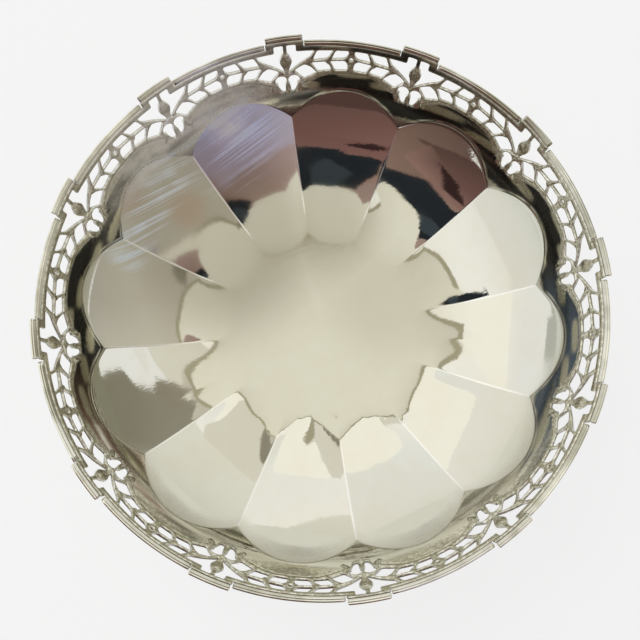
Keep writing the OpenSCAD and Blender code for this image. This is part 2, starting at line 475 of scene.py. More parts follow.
# The shares that each place of the sheet carries: its tarnish, how far it is in the painted dark
# reflection of the hollow below the piercing and above it, how soft its shine is, whether it is on
# the inner side, and whether it is on the painted highlight line of a fold.
TARNISH, DARK_REFLECTION_BELOW, DARK_REFLECTION_ABOVE, SOFT, INNER, CREASE_HIGHLIGHT = range(6)
# Drops between which the sheet thickens from the rim to the border, and the dip over which it
# thickens on to the panels.
thinning = (4, 7)
thick_fade = 0.1
# The arch is looked for up to the steepest dip, by halving. Rows of places crowd by two powers.
steepest_dip = 1.2
halvings = 40
row_crowding = 1.6
arch_crowding = 1.4


def hollow(flat):
    """Shares of the painted dark reflection in the hollow below the piercing and above it, at
    places of the half repeat."""
    start = np.interp(flat[:, 0] / half_w, *np.array(hollow_start).T) * border_w
    return np.stack([smooth_step((flat[:, 1] - start + hollow_before) / hollow_fade),
                     smooth_step((above_piercing - flat[:, 1]) / hollow_fade)], -1)


def border_tarnish(flat, inner):
    """Share of tarnish in the border: along the cut edges, and inside in the low places."""
    tarnish = smooth_step(1 - to_edge(flat) / tarnish_reach)
    if not inner:
        return tarnish
    aside = (dirt_step, 0)
    low_places = relief(flat - aside) + relief(flat + aside) - 2 * relief(flat)
    return np.maximum(tarnish, np.clip(low_places * dirt_gain, 0, most_dirt))


def wall_end(column, start, grow):
    """Dip at which each column of places passes from the wall to its panel, by halving."""
    low, high = start.copy(), np.full(len(start), steepest_dip)
    for _ in range(halvings):
        middle = (low + high) / 2
        wall_first = wall_reach(middle, grow) < panel_reach(half_sector - column, middle, grow)
        low, high = np.where(wall_first, middle, low), np.where(wall_first, high, middle)
    return low


def skin(columns, gap, rings, grow, rows):
    """Half a repeat of one side of the sheet: the border's flat triangles laid on the wall, and
    below them a grid whose rows crowd at the arch and at the floor's edge. The outer side lies
    at the sheet's thickness, and only the inner side has relief, dirt in its low places, the
    painted dark reflection of the hollow and the painted highlight along the folds."""
    flat, triangles, cuts, join = half_repeat(columns, gap, rings)
    inner = not grow
    angle = flat[:, 0] / border_r
    dip = dip_at(flat[:, 1])
    thick = np.interp(flat[:, 1], thinning, (rim_t, border_t))
    reach = bowl_reach(angle, dip) + set_out(flat) + (-relief(flat) if inner else thick)
    above = bowl_points(angle, dip, reach)
    column = columns * half_sector
    start = dip_at(join_drop(columns))
    arch = wall_end(column, start, grow)
    floor_edge = np.arctan2(wall_z - floor_z, panel_x / np.cos(half_sector - column))
    to_arch, to_floor, to_middle = [np.linspace(0, 1, n + 1)[1:, None] for n in rows]
    dips = np.concatenate([
        start + (arch - start) * (1 - (1 - to_arch) ** row_crowding),
        arch + (floor_edge - arch) * np.sin(np.pi / 2 * to_floor ** arch_crowding),
        floor_edge + (math.pi / 2 - floor_edge) * to_middle[:-1] ** row_crowding])
    angles = np.broadcast_to(column, dips.shape)
    reaches = bowl_reach(angles, dips)
    to_panels = smooth_step((dips - start) / thick_fade)
    thick = 0 if inner else grow * to_panels + border_t * (1 - to_panels)
    below = bowl_points(angles, dips, reaches + thick)
    pole = bowl_points(0, math.pi / 2, np.array(wall_z - floor_z + grow))
    points = np.concatenate([above, below.reshape(-1, 3), pole[None]])
    n, across, last = len(above), len(columns), len(points) - 1
    ids = np.concatenate([join[None], np.arange(n, last).reshape(-1, across)])
    a, b, c, d = ids[:-1, :-1], ids[:-1, 1:], ids[1:, 1:], ids[1:, :-1]
    grid = np.stack([a, b, c, a, c, d], -1).reshape(-1, 3)
    cap = np.stack([ids[-1, :-1], ids[-1, 1:], np.full(across - 1, last)], -1)
    at_start = np.concatenate([np.abs(angle) < tiny, (angles == 0).ravel(), [False]])
    at_end = np.concatenate([np.abs(angle - half_sector) < tiny,
                             (angles == half_sector).ravel(), [False]])
    marks = np.zeros((len(points), CREASE_HIGHLIGHT + 1))
    marks[:n, TARNISH] = border_tarnish(flat, inner)
    marks[:, INNER] = inner
    to_fold = (arch - dips) * reaches
    marks[n:-1, SOFT] = smooth_step((1 + to_fold / soft_reach) * (to_fold <= 0)).ravel()
    # The inner side carries the painted dark reflection of the hollow, with pale lines along the
    # arches, and the painted highlight along each fold.
    if inner:
        marks[:n, [DARK_REFLECTION_BELOW, DARK_REFLECTION_ABOVE]] = hollow(flat)
        marks[n:-1, DARK_REFLECTION_BELOW] = np.where(
            dips < arch, np.interp(to_fold, *np.array(arch_lines).T), 0).ravel()
        to_crease = reaches * np.cos(dips) * np.sin(angles)
        marks[n:-1, CREASE_HIGHLIGHT] = (smooth_step(crease_highlight_edge - to_crease / crease_highlight_width)
                               * ((dips > arch) & (dips < floor_edge))).ravel()
    return points, np.concatenate([triangles, grid, cap]), cuts, at_start, at_end, marks


def closed_sheet(inner, outer):
    """One half repeat of the whole sheet: both skins, and a strip between them along every cut
    edge. The outer skin's triangles are turned over."""
    points = np.concatenate([inner[0], outer[0]])
    shift = len(inner[0])
    a, b = inner[2].T
    c, d = outer[2].T + shift
    strip = np.concatenate([np.stack([b, a, c], -1), np.stack([b, c, d], -1)])
    triangles = np.concatenate([inner[1], outer[1][:, ::-1] + shift, strip])
    return points, triangles, *[np.concatenate([inner[i], outer[i]]) for i in (3, 4, 5)]


def all_round(points, triangles, at_start, at_end, marks, poles):
    """Twenty-four half repeats round the axis, every other one mirrored, sharing the points
    where they meet."""
    copies = 2 * sectors
    count = len(points)
    index = np.arange(copies * count).reshape(copies, count)
    places, faces = [], []
    for copy in range(copies):
        mirrored = copy % 2
        base = (copy + mirrored) * half_sector
        side = np.array((1, -1 if mirrored else 1, 1))
        turn = np.array(((math.cos(base), math.sin(base), 0),
                         (-math.sin(base), math.cos(base), 0), (0, 0, 1)))
        places.append((points * side) @ turn)
        faces.append((triangles[:, ::-1] if mirrored else triangles) + copy * count)
        if mirrored:
            index[copy, at_end] = index[copy - 1, at_end]
            index[copy, at_start] = index[(copy + 1) % copies, at_start]
        index[copy, poles] = index[0, poles]
    used, compact = np.unique(index, return_inverse=True)
    return (np.concatenate(places)[used], compact.reshape(-1)[np.concatenate(faces)],
            np.tile(marks, (copies, 1))[used])


def new_piece(name, points, faces, tarnish, slot, *replaced):
    """A smooth mesh from arrays in millimetres, riding on the compote's one body. Each point
    carries its share of tarnish."""
    mesh = bpy.data.meshes.new(name)
    mesh.from_pydata(points * MM, [], faces)
    mesh.attributes.new("tarnish", "FLOAT", "POINT").data.foreach_set("value", tarnish)
    mesh.update()
    mesh.shade_smooth()
    piece = bpy.data.objects.new(name, mesh)
    bpy.context.scene.collection.objects.link(piece)
    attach(piece, "root")
    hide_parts(*replaced)
    return piece


# The inner side is drawn finely, with rings of places along its cut edges. The outer is coarser.
# Columns of places crowd at the fold between two panels.
inner_columns = np.linspace(0, 1, 31) ** 1.5
outer_columns = np.linspace(0, 1, 13) ** 1.3
inner_rings = (0.14, 0.38)
inner_rows = (10, 28, 5)
outer_rows = (5, 12, 3)
outer_gap = 1.5
inner_skin = skin(inner_columns, point_gap, inner_rings, 0, inner_rows)
outer_skin = skin(outer_columns, outer_gap, (), sheet_t, outer_rows)
sheet = closed_sheet(inner_skin, outer_skin)
poles = [len(inner_skin[0]) - 1, len(sheet[0]) - 1]
places, faces, marks = all_round(*sheet, poles)

# The inner ends of the near panels stand up a little, so the floor's edge is scalloped there.
# Angles are in degrees. A rise starts at its end's distance from the axis with one slope, and
# dies out over a reach.
end_turns = (216, 226, 233, 240, 247, 255, 262, 270, 277, 284, 292, 300, 307, 315, 330)
end_radii = (51, 53, 54, 57, 46, 42.6, 47, 55, 50, 47.5, 51, 59, 55.5, 54.4, 56)
end_slope = 0.13
end_reach = 15
turned_by = np.arctan2(places[:, 1], places[:, 0])
degrees = np.degrees(turned_by) % 360
from_axis = np.hypot(places[:, 0], places[:, 1])
past_end = np.maximum(from_axis - np.interp(degrees, end_turns, end_radii), 0)
near_side = np.interp(degrees, (200, 216, 325, 345), (0, 1, 1, 0))
places[:, 2] += end_slope * near_side * past_end * np.exp(-(past_end / end_reach) ** 1.5)
bowl = new_piece("bowl_sheet", places, faces, marks[:, TARNISH], "bowl_silver", "bowl")


def carry(name, values):
    """Gives the bowl's points a value that its silver reads."""
    bowl.data.attributes.new(name, "FLOAT", "POINT").data.foreach_set("value", values)


def patch(place, reach, full):
    """Share of a round patch on the inner side: one up to a distance from its middle, and none
    past its reach."""
    away = np.linalg.norm(places - np.array(place), axis=1)
    return marks[:, INNER] * smooth_step((reach - away) / (reach - full))


def mixed(first, second, share):
    """One colour for each point, between two."""
    return first + (np.array(second) - first) * share[:, None]


def waves(count, drift, bend=0, bends=0):
    """A sine wave a number of times round the axis, which drifts with the depth and is bent by
    a slower wave."""
    return np.sin(count * turned_by + drift * depth + bend * np.sin(bends * turned_by))


# The hollow's painted reflection is dark round most of the wall and pale at the near side, with
# streaks along it. It has a bluish and a brownish stretch.
dark_turns = (0, 20, 35, 50, 70, 85, 100, 115, 130, 150, 180, 190, 200, 235, 250, 270, 290, 305,
              320, 345)
dark_shares = (0.95, 0.9, 0.75, 0.85, 1, 0.7, 0.4, 0.35, 0.55, 0.85, 1, 0.9, 0.55, 0.4, 0.2, 0.05,
               0.1, 0.3, 0.6, 0.9)
above_turns = (20, 45, 60, 85, 95, 105, 170, 200)
above_shares = (0, 0.5, 0.9, 0.9, 0.3, 0.1, 0.15, 0)
depth = top_z - places[:, 2]
streaks = 0.5 + 0.28 * waves(7, 0.9, 2, 3) + 0.22 * waves(19, -1.7, 3, 5)
dark = marks[:, DARK_REFLECTION_BELOW] * smooth_step(
    1.6 * np.interp(degrees, dark_turns, dark_shares, period=360) - 0.6 * streaks)
dark_above = marks[:, DARK_REFLECTION_ABOVE] * np.interp(degrees, above_turns, above_shares, period=360)
carry("hollow", np.maximum(dark, dark_above))
pale = smooth_step((waves(9, 0.55, 2.4, 4) + 0.6 * waves(23, -0.8) - 0.3) / 0.7)
# Tones of the painted reflection in the hollow.
hollow_reflection_tones = np.tile((0.05, 0.05, 0.048), (len(places), 1))
hollow_reflection_tones = mixed(hollow_reflection_tones, (0.13, 0.17, 0.23), patch((93, -42, 50), 55, 20))
hollow_reflection_tones = mixed(hollow_reflection_tones, (0.32, 0.21, 0.16), patch((-95, -52, 50), 50, 20))
hollow_reflection_tones = mixed(hollow_reflection_tones, (0.62, 0.6, 0.47), pale * 0.85)
tones = bowl.data.attributes.new("hollow_reflection_tones", "FLOAT_COLOR", "POINT").data
tones.foreach_set("color", np.column_stack([hollow_reflection_tones, np.ones(len(places))]).ravel())

# Rubbing left strokes on two panels at the far left, one of them tinted, and the silver round
# them is dull. The strokes carry a painted pale blue highlight. The border is matt from chasing,
# and at the far left it carries a painted glare. The folds carry a painted highlight line, and the
# outer ends of the near panels are polished less. Each look starts or ends at a depth below the rim
# or a distance from the axis.
rubbed_line = np.array([(-46, 90), (-68, 66), (-84, 42)], float)
rubbed_reach = 8
panel_depth = 28
border_depth = 26
glare_depth = 34
crease_highlight_from = 53
crease_highlight_share = 0.6
first_panel = patch((-32, 92, 52), 34, 14)
rubbed = marks[:, INNER] * smooth_step(
    1.25 - far_from(places[:, :2], rubbed_line) / rubbed_reach) * (depth > panel_depth)
carry("brushed", np.maximum(first_panel, rubbed))
carry("tinted", first_panel)
carry("dull", np.max([patch((-44, 52, 28), 66, 30), patch((8, 50, 27), 46, 12) * 0.8,
                      patch((34, 8, 26), 44, 10) * 0.45, patch((-85, 45, 50), 50, 22) * 0.5], 0))
carry("brown", np.maximum(patch((-55, 62, 38), 14, 3), patch((-80, 66, 53), 15, 3) * 0.8))
carry("matt", marks[:, INNER] * smooth_step((border_depth - depth) / 2))
# A painted glare on the border at the far left.
carry("glare", np.maximum(patch((-52, 94, 80), 76, 22) * smooth_step((glare_depth - depth) / 7),
                          patch((-32, 96, 54), 15, 4) * 0.8))
# A painted highlight along the near folds.
carry("crease", marks[:, CREASE_HIGHLIGHT] * crease_highlight_share * smooth_step((from_axis - crease_highlight_from) / 7))
carry("soft", marks[:, SOFT] * near_side)


# The rim wire: 24 lengths of drawn silver wire, soldered to the edge of the sheet, long ones
# between the tabs and short ones on them. Each has a round outer bead and a flatter inner band.
tab_jut = 0.6
wire_gap = math.radians(0.15)
wire_stations = 18
bead_half_w = 0.62
bead_turn = np.radians(np.linspace(-90, 150, 15))
bead = np.stack([np.cos(bead_turn) - 1, np.sin(bead_turn) - 1], -1) * (bead_half_w, wire_h / 2)
band = np.array([(-1.2, -0.46), (-1.3, -0.42), (-1.45, -0.42), (-1.56, -0.48), (-2.22, -1.2),
                 (-2.3, -1.32), (-2.3, -1.62), (-2.22, -1.7), (-1.3, -1.7)])
wire_profile = np.concatenate([bead, band])
# Dirt lies in the groove beside the bead and at the band's inner edge, by the profile's points.
wire_tarnish = np.interp(np.arange(len(wire_profile)), (13, 14.5, 16, 18, 19, 21),
                         (0, 0.8, 0, 0.25, 0.35, 1))
# Distance from each end of a wire, and the share of its profile that is left there.
end_rounding = [(0, 0.45), (0.06, 0.72), (0.18, 0.9), (0.34, 1)]


def closed_tube(profile, stations, loop=False):
    """Triangles of a closed profile carried through stations, with a fan on each end."""
    across = np.arange(profile)
    after = np.roll(across, -1)
    rows = np.arange(stations)[:, None] * profile
    start, end = (rows, np.roll(rows, -1, 0)) if loop else (rows[:-1], rows[1:])
    a, b, c, d = start + across, start + after, end + after, end + across
    sides = np.stack([a, c, b, a, d, c], -1).reshape(-1, 3)
    if loop:
        return sides
    first = np.stack([across, after, np.full(profile, stations * profile)], -1)
    last = np.stack([rows[-1] + after, rows[-1] + across,
                     np.full(profile, stations * profile + 1)], -1)
    return np.concatenate([sides, first, last])


def wire_length(angles, outer_r, top):
    """A wire's profile carried round the rim, drawn in to a rounded end at both sides."""
    middle = wire_profile.mean(0)
    ends = np.array(end_rounding)
    turn = np.concatenate([angles[0] + ends[:, 0] / outer_r,
                           np.linspace(*angles, wire_stations)[1:-1],
                           angles[1] - ends[::-1, 0] / outer_r])
    size = np.concatenate([ends[:, 1], np.ones(wire_stations - 2), ends[::-1, 1]])
    shape = middle + (wire_profile - middle) * size[:, None, None]
    shape = np.concatenate([shape.reshape(-1, 2), np.tile(middle, (2, 1))])
    turns = np.append(np.repeat(turn, len(wire_profile)), angles)
    out = outer_r + shape[:, 0]
    places = np.stack([out * np.cos(turns), out * np.sin(turns), top + shape[:, 1]], -1)
    tarnish = np.append(np.tile(wire_tarnish, len(turn)), (1, 1))
    return places, closed_tube(len(wire_profile), len(turn)), tarnish


for i in range(1, sectors + 1):
    middle_turn = i * 2 * half_sector
    new_piece(f"wire_on_tab_{i}", *wire_length(
        (middle_turn - tab_half_angle + wire_gap, middle_turn + tab_half_angle - wire_gap),
        rim_r, top_z), "wire_silver", f"tab_wire_{i}")
    new_piece(f"wire_between_tabs_{i}", *wire_length(
        (middle_turn + tab_half_angle + wire_gap,
         middle_turn + 2 * half_sector - tab_half_angle - wire_gap),
        rim_r - tab_jut, top_z - tab_rise), "wire_silver", f"rim_wire_{i}")

# The foot: a hollow trumpet spun from sheet silver and soldered under the bowl. Its flare runs
# smoothly into a round roll, which stands on a stout wire.
foot_h = neck_z
foot_t = 1.2
base_wire = 3.2
skirt_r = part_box("foot")[1].x / MM
neck_r = 27
flare_r = 38
roll_r = 7
flare_points = 30
roll_points = 16
roll_x = skirt_r - roll_r
neck_reach = math.hypot(neck_r - roll_x, foot_h - base_wire)
flare_reach = flare_r + roll_r
flare_turn = math.acos((neck_reach ** 2 + flare_reach ** 2 - flare_r ** 2)
                       / (2 * neck_reach * flare_reach))
flare_dir = math.atan2(foot_h - base_wire, neck_r - roll_x) - flare_turn
flare_x = roll_x + flare_reach * math.cos(flare_dir)
flare_z = base_wire + flare_reach * math.sin(flare_dir)


def foot_side(shrink):
    """The foot's profile from the neck to the skirt, drawn in by a thickness: an arc of the
    flare's circle, then one of the roll's, that touch on the line between the centres."""
    flare, roll = flare_r + shrink, roll_r - shrink
    at_neck = math.pi + math.asin((flare_z - foot_h) / flare)
    down = np.linspace(at_neck, flare_dir + math.pi, flare_points)[:-1]
    over = np.linspace(flare_dir, 0, roll_points)
    return np.concatenate([
        np.stack([flare_x + flare * np.cos(down), flare_z + flare * np.sin(down)], -1),
        np.stack([roll_x + roll * np.cos(over), base_wire + roll * np.sin(over)], -1)])


def turned(profile, segments=192):
    """A closed profile turned round the axis. Its points run with the solid on their left."""
    turn = np.linspace(0, 2 * math.pi, segments, endpoint=False)[:, None]
    out = profile[:, 0]
    places = np.stack([out * np.cos(turn), out * np.sin(turn),
                       np.broadcast_to(profile[:, 1], (segments, len(out)))], -1)
    return (places.reshape(-1, 3), closed_tube(len(profile), segments, loop=True),
            np.zeros(len(profile) * segments))


foot_profile = np.concatenate([foot_side(foot_t), foot_side(0)[::-1]])
new_piece("spun_foot", *turned(foot_profile), "foot_silver", "foot")

# The wire under the foot: stout drawn silver wire, round outside and flat inside with eased
# corners, soldered to the edge of the roll. The compote stands on it.
half_round = np.radians(np.linspace(-90, 90, 17))
base_inside_shares = np.array([(-0.42, 1), (-0.5, 0.92), (-0.5, 0.08), (-0.42, 0)])
base_profile = np.concatenate([
    np.stack([skirt_r + base_wire / 2 * np.cos(half_round),
              base_wire / 2 * (1 + np.sin(half_round))], -1),
    base_inside_shares * base_wire + (skirt_r, 0)])
new_piece("base_wire", *turned(base_profile), "wire_silver", "foot_wire")


# Silver, polished long ago and used since: a bright mirror with fine scratches and soft dents,
# a little duller and yellower in patches.
class Shade:
    """One socket of a shader tree. Sums on it add Math nodes, and node() adds any other."""

    def __init__(self, tree, socket=None):
        self.tree = tree
        self.socket = socket

    def node(self, kind, settings={}, sockets={}, output=0):
        """Adds a node: its settings first, then the value or the link of each socket."""
        made = self.tree.nodes.new(kind)
        for name, value in settings.items():
            setattr(made, name, value)
        for name, value in sockets.items():
            if isinstance(value, Shade):
                self.tree.links.new(value.socket, made.inputs[name])
            else:
                made.inputs[name].default_value = value
        return Shade(self.tree, made.outputs[output] if made.outputs else None)

    def sum(self, operation, *values):
        return self.node("ShaderNodeMath", {"operation": operation}, dict(enumerate(values)))

    def __add__(self, other):
        return self.sum("ADD", self, other)

    def __mul__(self, other):
        return self.sum("MULTIPLY", self, other)

    __radd__, __rmul__ = __add__, __mul__


def new_material(name):
    """A material with an empty tree, and the start of its sums."""
    material = bpy.data.materials.new(name)
    material.use_nodes = True
    material.node_tree.nodes.clear()
    return material, Shade(material.node_tree)


def carried(tree, name, output="Fac"):
    """A share that a piece's points carry, or with its output named a colour."""
    return tree.node("ShaderNodeAttribute", {"attribute_name": name}, output=output)


def mix(amount, first, second):
    """A colour between two, by a share."""
    return amount.node("ShaderNodeMix", {"data_type": "RGBA"}, {
        0: amount, 6: first, 7: second}, output=2)


def spread(value, low, high):
    """A value made to run from none at one level to full at another."""
    return value.node("ShaderNodeMapRange", {}, {"Value": value, "From Min": low, "From Max": high})


def cloud(places, scale, detail, stretch=(1, 1, 1), turn=0, flat=1):
    """Soft noise on a piece's own places, turned about the axis and then stretched."""
    turned_to = places.node("ShaderNodeMapping", {}, {
        "Vector": places, "Scale": (1, 1, flat), "Rotation": (0, 0, -turn)})
    laid_out = places.node("ShaderNodeMapping", {}, {"Vector": turned_to, "Scale": stretch})
    return places.node("ShaderNodeTexNoise", {}, {
        "Vector": laid_out, "Scale": scale, "Detail": detail})


tarnished = (0.36, 0.34, 0.26, 1)
tarnish_share = 0.85
tarnish_rough = 0.25
scratch_depth = 0.00002


def silver(name, clean, worn_and_shaded, least_rough, dent, shaded_way=(0, 0, 0), layers=None):
    """A silver finish, from its two tones, its least roughness and the depth of its dents. Its tone
    can also darken more and more along one way, which is painted shade, and layers of other looks
    can lie over it."""
    material, tree = new_material(name)
    places = tree.node("ShaderNodeTexCoord", output="Object")
    patches = cloud(places, 38, 3)
    spots = cloud(places, 150, 4)
    scratches = cloud(places, 900, 2, (1, 0.05, 1), 0.5) * 0.5 + (
        cloud(places, 1100, 2, (0.06, 1, 1), 0.3) * 0.5)
    along = tree.node("ShaderNodeVectorMath", {"operation": "DOT_PRODUCT"}, {
        0: places, 1: shaded_way}, output="Value")
    # Wear in random patches, and along the given way a painted shade.
    wear_and_shade = spread(patches * 0.7 + spots * 0.3 + along, 0.42, 0.62)
    tarnish = carried(tree, "tarnish")
    tone = mix(wear_and_shade, (*clean, 1), (*worn_and_shaded, 1))
    tone = mix(tarnish * tarnish_share, tone, tarnished)
    rough = wear_and_shade * 0.03 + scratches * 0.02 + tarnish * tarnish_rough + least_rough
    if layers:
        tone, rough = layers(places, patches, spots, tone, rough)
    dented = tree.node("ShaderNodeBump", {}, {
        "Height": cloud(places, 30, 1) * 0.6 + cloud(places, 75, 2) * 0.15,
        "Distance": dent, "Strength": 1.0})
    scored = tree.node("ShaderNodeBump", {}, {
        "Height": scratches, "Distance": scratch_depth, "Strength": 0.5, "Normal": dented})
    surface = tree.node("ShaderNodeBsdfPrincipled", {}, {
        "Base Color": tone, "Metallic": 1.0, "Roughness": rough, "Normal": scored})
    tree.node("ShaderNodeOutputMaterial", {}, {"Surface": surface})
    return material


# The looks that the bowl's points carry: the tone and greatest share of each stain, the tones of
# the others, and how much rougher each look makes the silver.
stains = {"dull": ((0.47, 0.45, 0.38, 1), 0.9), "brown": ((0.5, 0.38, 0.28, 1), 0.6),
          "tinted": ((0.4, 0.35, 0.4, 1), 0.3)}
# Pale blue tone of the painted highlight on the strokes.
stroke_highlight_tone = (0.78, 0.87, 1, 1)
stroke_turn = 0.47
stroke_share = 0.9
stroke_rough = 0.22
matt_tone = (0.68, 0.66, 0.54, 1)
# White tone of the painted sparkle on the matt border.
sparkle_tone = (1, 1, 0.93, 1)
# White tone of the painted glare and fold highlights.
glare_tone = (1, 1, 1, 1)
glare_gain = 1.4
glare_rough = 0.25
rougher = {"brushed": 0.04, "dull": 0.04, "hollow": 0.1, "soft": 0.3, "matt": 0.14, "crease": 0.3}


def bowl_layers(places, patches, spots, tone, rough):
    """The looks of the bowl over its silver, each mixed in by its share: stains, then strokes with
    their painted highlight, the painted sparkle of the matt border, the painted dark reflection in
    the hollow, and last the painted glare and the painted highlight along the folds."""
    share = lambda name: carried(places, name)
    for name, (stain, most) in stains.items():
        tone = mix(share(name) * most, tone, stain)
    strokes = cloud(places, 420, 4, (0.02, 1, 1), stroke_turn, flat=0) * 0.6 + (
        cloud(places, 1500, 2, (0.012, 1, 1), stroke_turn, flat=0) * 0.4)
    stroke = share("brushed") * spread(strokes + patches * 0.4, 0.66, 0.8)
    # The strokes are mixed towards pale blue: a painted highlight on real rubbing marks.
    tone = mix(stroke * stroke_share, tone, stroke_highlight_tone)
    # The matt border is mixed towards white in small spots: painted sparkle.
    sparkle = spread(cloud(places, 620, 2), 0.4, 0.6)
    tone = mix(share("matt") * (0.55 + sparkle * 0.4), tone, mix(sparkle, matt_tone, sparkle_tone))
    # The hollow takes the tones of its painted dark reflection.
    tone = mix(share("hollow"), tone, carried(places, "hollow_reflection_tones", "Color"))
    # The glare and the line along each fold are painted highlights, mixed towards white.
    glare = share("glare") * (spots * glare_gain)
    tone = mix(glare + share("crease"), tone, glare_tone)
    rough = rough + stroke * stroke_rough + glare * glare_rough
    for name, more in rougher.items():
        rough = rough + share(name) * more
    return tone, rough


bowl_silver = silver("bowl_silver", (0.745, 0.735, 0.665), (0.732, 0.715, 0.63), 0.02, 0.0002,
                     layers=bowl_layers)
# The wires darken towards one side of the rim: painted shade.
wire_silver = silver("wire_silver", (0.9, 0.89, 0.81), (0.5, 0.49, 0.41), 0.05, 0.00006,
                     shaded_way=(0.35, 0.6, 0))
foot_silver = silver("foot_silver", (0.75, 0.735, 0.66), (0.7, 0.67, 0.57), 0.05, 0.0001)
finish = {"bowl_sheet": bowl_silver, "spun_foot": foot_silver}
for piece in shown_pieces():
    if piece.type == "MESH" and not piece.data.materials:
        piece.data.materials.append(finish.get(piece.name, wire_silver))

# The studio: a pale floor, a white surround, one soft lamp overhead, and flags that only the
# silver mirrors.
floor_half = 3.0
floor_tone = (0.85, 0.85, 0.84, 1)
floor_glow = 0.75
sky_light = 0.55
lamp_place = Vector((-0.5, 0.6, 1.1))
white = (1, 1, 1, 1)


def seen(tree):
    """One where the camera, a mirror or glass sees a surface, and none where it gives light."""
    path = lambda kind: tree.node("ShaderNodeLightPath", output=kind)
    return path("Is Camera Ray") + path("Is Glossy Ray") + path("Is Transmission Ray")


floor_mesh = bpy.data.meshes.new("floor")
floor_mesh.from_pydata([(x * floor_half, y * floor_half, 0) for x, y in
                        ((-1, -1), (1, -1), (1, 1), (-1, 1))], [], [(0, 1, 2, 3)])
floor = bpy.data.objects.new("floor", floor_mesh)
bpy.context.scene.collection.objects.link(floor)
floor_paint, tree = new_material("floor_paint")
matt = tree.node("ShaderNodeBsdfDiffuse", {}, {"Color": floor_tone})
lit = tree.node("ShaderNodeEmission", {}, {"Color": white, "Strength": 1.0})
paint = tree.node("ShaderNodeMixShader", {}, {0: seen(tree) * floor_glow, 1: matt, 2: lit})
tree.node("ShaderNodeOutputMaterial", {}, {"Surface": paint})
floor_mesh.materials.append(floor_paint)

world = bpy.data.worlds.new("surround")
bpy.context.scene.world = world
world.use_nodes = True
world.node_tree.nodes.clear()
tree = Shade(world.node_tree)
sky = tree.node("ShaderNodeBackground", {}, {
    "Color": white, "Strength": seen(tree) * (1 - sky_light) + sky_light})
tree.node("ShaderNodeOutputWorld", {}, {"Surface": sky})

lamp_data = bpy.data.lights.new("soft_lamp", "AREA")
lamp_data.shape = "DISK"
lamp_data.size = 0.8
lamp_data.energy = 4
lamp = bpy.data.objects.new("soft_lamp", lamp_data)
bpy.context.scene.collection.objects.link(lamp)
lamp.visible_glossy = False
lamp.matrix_world = Matrix.Translation(lamp_place) @ (
    lamp_place.to_track_quat("Z", "Y").to_matrix().to_4x4())

# Flags hang level in two layers, one just above the camera and one at the ceiling. Where two of
# a layer overlap, the silver mirrors the lower one.
near_z = 356
ceiling_z = 2500


def flag(name, corners, colours):
    """A flat sheet of one colour, or of one for each corner, seen only where a surface mirrors
    it."""
    mesh = bpy.data.meshes.new(name)
    mesh.from_pydata([Vector(c) * MM for c in corners], [], [tuple(range(len(corners)))])
    shades = np.ones((len(corners), 4))
    shades[:, :3] = colours
    mesh.attributes.new("shade", "FLOAT_COLOR", "POINT").data.foreach_set("color", shades.ravel())
    sheet = bpy.data.objects.new(name, mesh)
    bpy.context.scene.collection.objects.link(sheet)
    sheet.visible_camera = sheet.visible_diffuse = sheet.visible_shadow = False
    sheet.visible_transmission = False
    paint, tree = new_material(name)
    shade = tree.node("ShaderNodeAttribute", {"attribute_name": "shade"}, output="Color")
    glow = tree.node("ShaderNodeEmission", {}, {"Color": shade, "Strength": 1.0})
    tree.node("ShaderNodeOutputMaterial", {}, {"Surface": glow})
    mesh.materials.append(paint)


def level_flag(name, z, corners, colours):
    """A level flag, from the places of its corners."""
    flag(name, [(x, y, z) for x, y in corners], colours)


curtain_points = 24


def curtain(name, turns, out, heights, colour):
    """An upright flag bent round the axis at one distance, between two angles in degrees."""
    turn = np.radians(np.linspace(*turns, curtain_points))
    ring = np.stack([out * np.cos(turn), out * np.sin(turn)], -1)
    flag(name, [(*p, heights[0]) for p in ring] + [(*p, heights[1]) for p in ring[::-1]], colour)


level_flag("dark_flag", near_z, [
    (-136, -8), (-62, -24), (-18, -26), (15, -33), (13, -60), (6, -134), (-12, -143), (-34, -137),
    (-48, -149), (-84, -142), (-95, -92), (-120, -98), (-156, -97), (-150, -60)],
    (0.02, 0.025, 0.032))
level_flag("blue_flag", near_z - 0.5, [(-58, -24), (-16, -22), (-8, -75), (-50, -110)],
           (0.05, 0.065, 0.08))
level_flag("warm_flag", near_z + 1, [
    (-160, -97), (12, -134), (6, -205), (-110, -200), (-250, -190), (-330, -215), (-210, -95)],
    [(0.33, 0.19, 0.17), (0.26, 0.14, 0.13), (0.22, 0.11, 0.1), (0.2, 0.1, 0.09),
     (0.14, 0.08, 0.07), (0.2, 0.12, 0.1), (0.33, 0.2, 0.18)])
level_flag("fold_flag", near_z + 0.5, [(-118, -128), (-190, -168), (-250, -178), (-150, -118)],
           (0.04, 0.02, 0.02))
level_flag("knot_flag", near_z + 0.5, [
    (-52, -176), (-14, -172), (-4, -190), (-24, -204), (-40, -190)], (0.04, 0.02, 0.02))
level_flag("brown_flag", near_z + 1.5, [
    (-110, -198), (8, -198), (20, -520), (-420, -520), (-330, -190)],
    [(0.2, 0.1, 0.09), (0.26, 0.14, 0.13), (0.2, 0.11, 0.1), (0.08, 0.045, 0.04),
     (0.12, 0.07, 0.06)])
level_flag("beige_flag", near_z + 2, [
    (-110, -20), (-140, -25), (-330, -100), (-1000, -330), (-3000, -1300), (-3000, -2600),
    (-900, -720), (-330, -300), (-200, -180)],
    [(0.3, 0.2, 0.17), (0.3, 0.2, 0.17), (0.26, 0.17, 0.14), (0.2, 0.13, 0.11),
     (0.14, 0.08, 0.07), (0.11, 0.06, 0.05), (0.11, 0.06, 0.05), (0.12, 0.08, 0.07),
     (0.2, 0.13, 0.11)])
